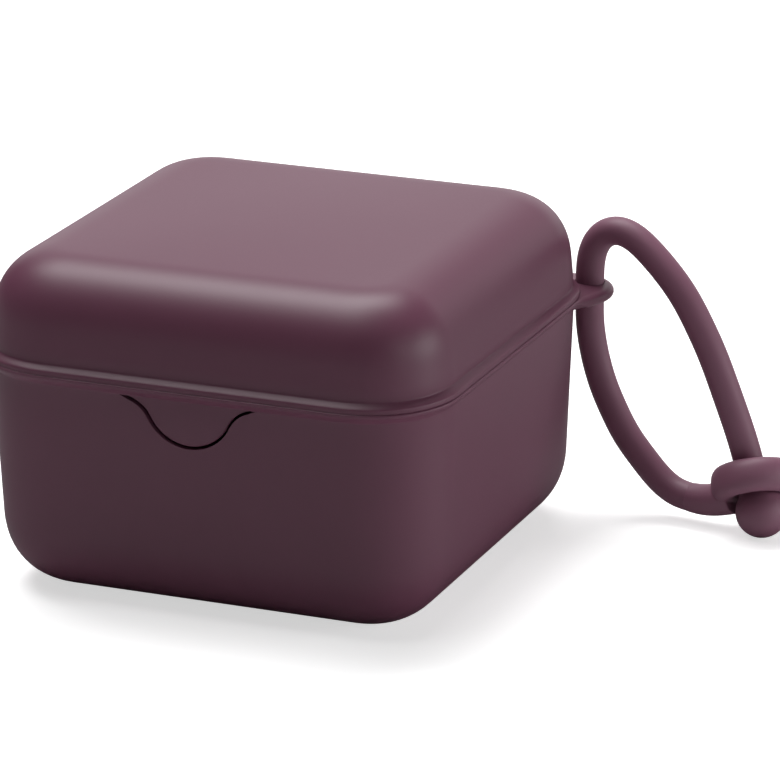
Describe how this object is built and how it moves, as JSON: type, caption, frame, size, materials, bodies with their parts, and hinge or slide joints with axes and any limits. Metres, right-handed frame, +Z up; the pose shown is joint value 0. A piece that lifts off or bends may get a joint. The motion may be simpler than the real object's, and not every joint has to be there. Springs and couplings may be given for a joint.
{
  "type": "pacifier sterilizer case",
  "caption": "Rounded square travel case for pacifiers, with a hinged lid, press-to-open tongue, perforated steam tray and a looped carrying strap.",
  "frame": {"origin": "middle of the case's flat underside, on the surface that it stands on", "axes": "+Z up, the release tongue faces -Y, the hinge runs along X at the back, and the strap hangs at the +X, +Y corner"},
  "size_m": [0.1367, 0.0994, 0.0655],
  "materials": {
    "plum_shell": "fine matte moulded polypropylene",
    "plum_lid": "fine matte moulded polypropylene",
    "pin_plastic": "smooth extruded plastic",
    "tray_plastic": "fine matte moulded polypropylene",
    "plum_silicone": "smooth matte silicone"
  },
  "bodies": {
    "case": {"base_shell": "plum_shell", "hinge_pin": "pin_plastic"},
    "lid": {"lid_shell": "plum_lid"},
    "hook": {"latch_hook": "plum_lid"},
    "tongue": {"release_tongue": "plum_shell"},
    "tray": {"steam_tray": "tray_plastic"},
    "strap": {"strap_cord": "plum_silicone", "strap_eye": "plum_silicone", "strap_ball": "plum_silicone"}
  },
  "joints": [
    {"name": "lid_hinge", "type": "hinge", "parent": "case", "child": "lid", "pos_m": [0, 0.05, 0.046], "axis": [-1, 0, 0], "range_deg": [0, 105], "deforming": ["strap_cord"]},
    {"name": "tongue_press", "type": "hinge", "parent": "case", "child": "tongue", "pos_m": [0, -0.04519, 0.04348], "axis": [1, 0, 0], "range_deg": [0, 12], "stiffness_Nm_per_rad": 0.05},
    {"name": "hook_flex", "type": "hinge", "parent": "lid", "child": "hook", "pos_m": [0, -0.04125, 0.0484], "axis": [1, 0, 0], "range_deg": [0, 6]},
    {"name": "tray_lift", "type": "slide", "parent": "case", "child": "tray", "axis": [0, 0, 1], "range_m": [0, 0.028]},
    {"name": "strap_swivel", "type": "hinge", "parent": "case", "child": "strap", "pos_m": [0.0447, 0.0447, 0.044], "axis": [0, 0, 1], "range_deg": [-50, 40]}
  ],
  "couplings": [
    {"joint": "hook_flex", "follows": "tongue_press", "ratio": 0.5}
  ]
}
